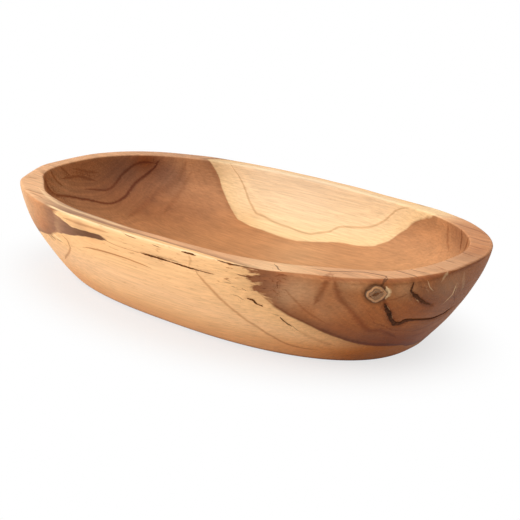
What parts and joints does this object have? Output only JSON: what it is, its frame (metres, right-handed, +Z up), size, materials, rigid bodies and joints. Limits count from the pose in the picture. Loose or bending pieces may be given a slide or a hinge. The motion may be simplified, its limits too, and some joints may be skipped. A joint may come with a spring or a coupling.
{
  "type": "dough bowl",
  "caption": "Oval hand-carved wooden dough bowl with flared walls, a flat rim and a rounded hollow, with a knot, bark seams and stopped checks let into the front wall.",
  "frame": {"origin": "on the table under the middle of the bowl's box", "axes": "+X along the bowl towards the end beside the knot, -Y towards the front wall that carries the knot, +Z up"},
  "size_m": [0.3498, 0.18, 0.062],
  "materials": {
    "bowl_wood": "oiled satin",
    "knot_wood": "oiled satin",
    "bark": "matt, rough",
    "stopping": "matt wood-dust and resin stopping"
  },
  "bodies": {
    "root": {"bowl_body": "bowl_wood", "knot": "knot_wood", "under_knot_seam": "bark", "rim_seam": "bark", "long_check_stop": "stopping", "upper_check_stop": "stopping", "rim_check_stop": "stopping", "heart_check_stop": "stopping", "lower_check_stop": "stopping"}
  },
  "joints": []
}
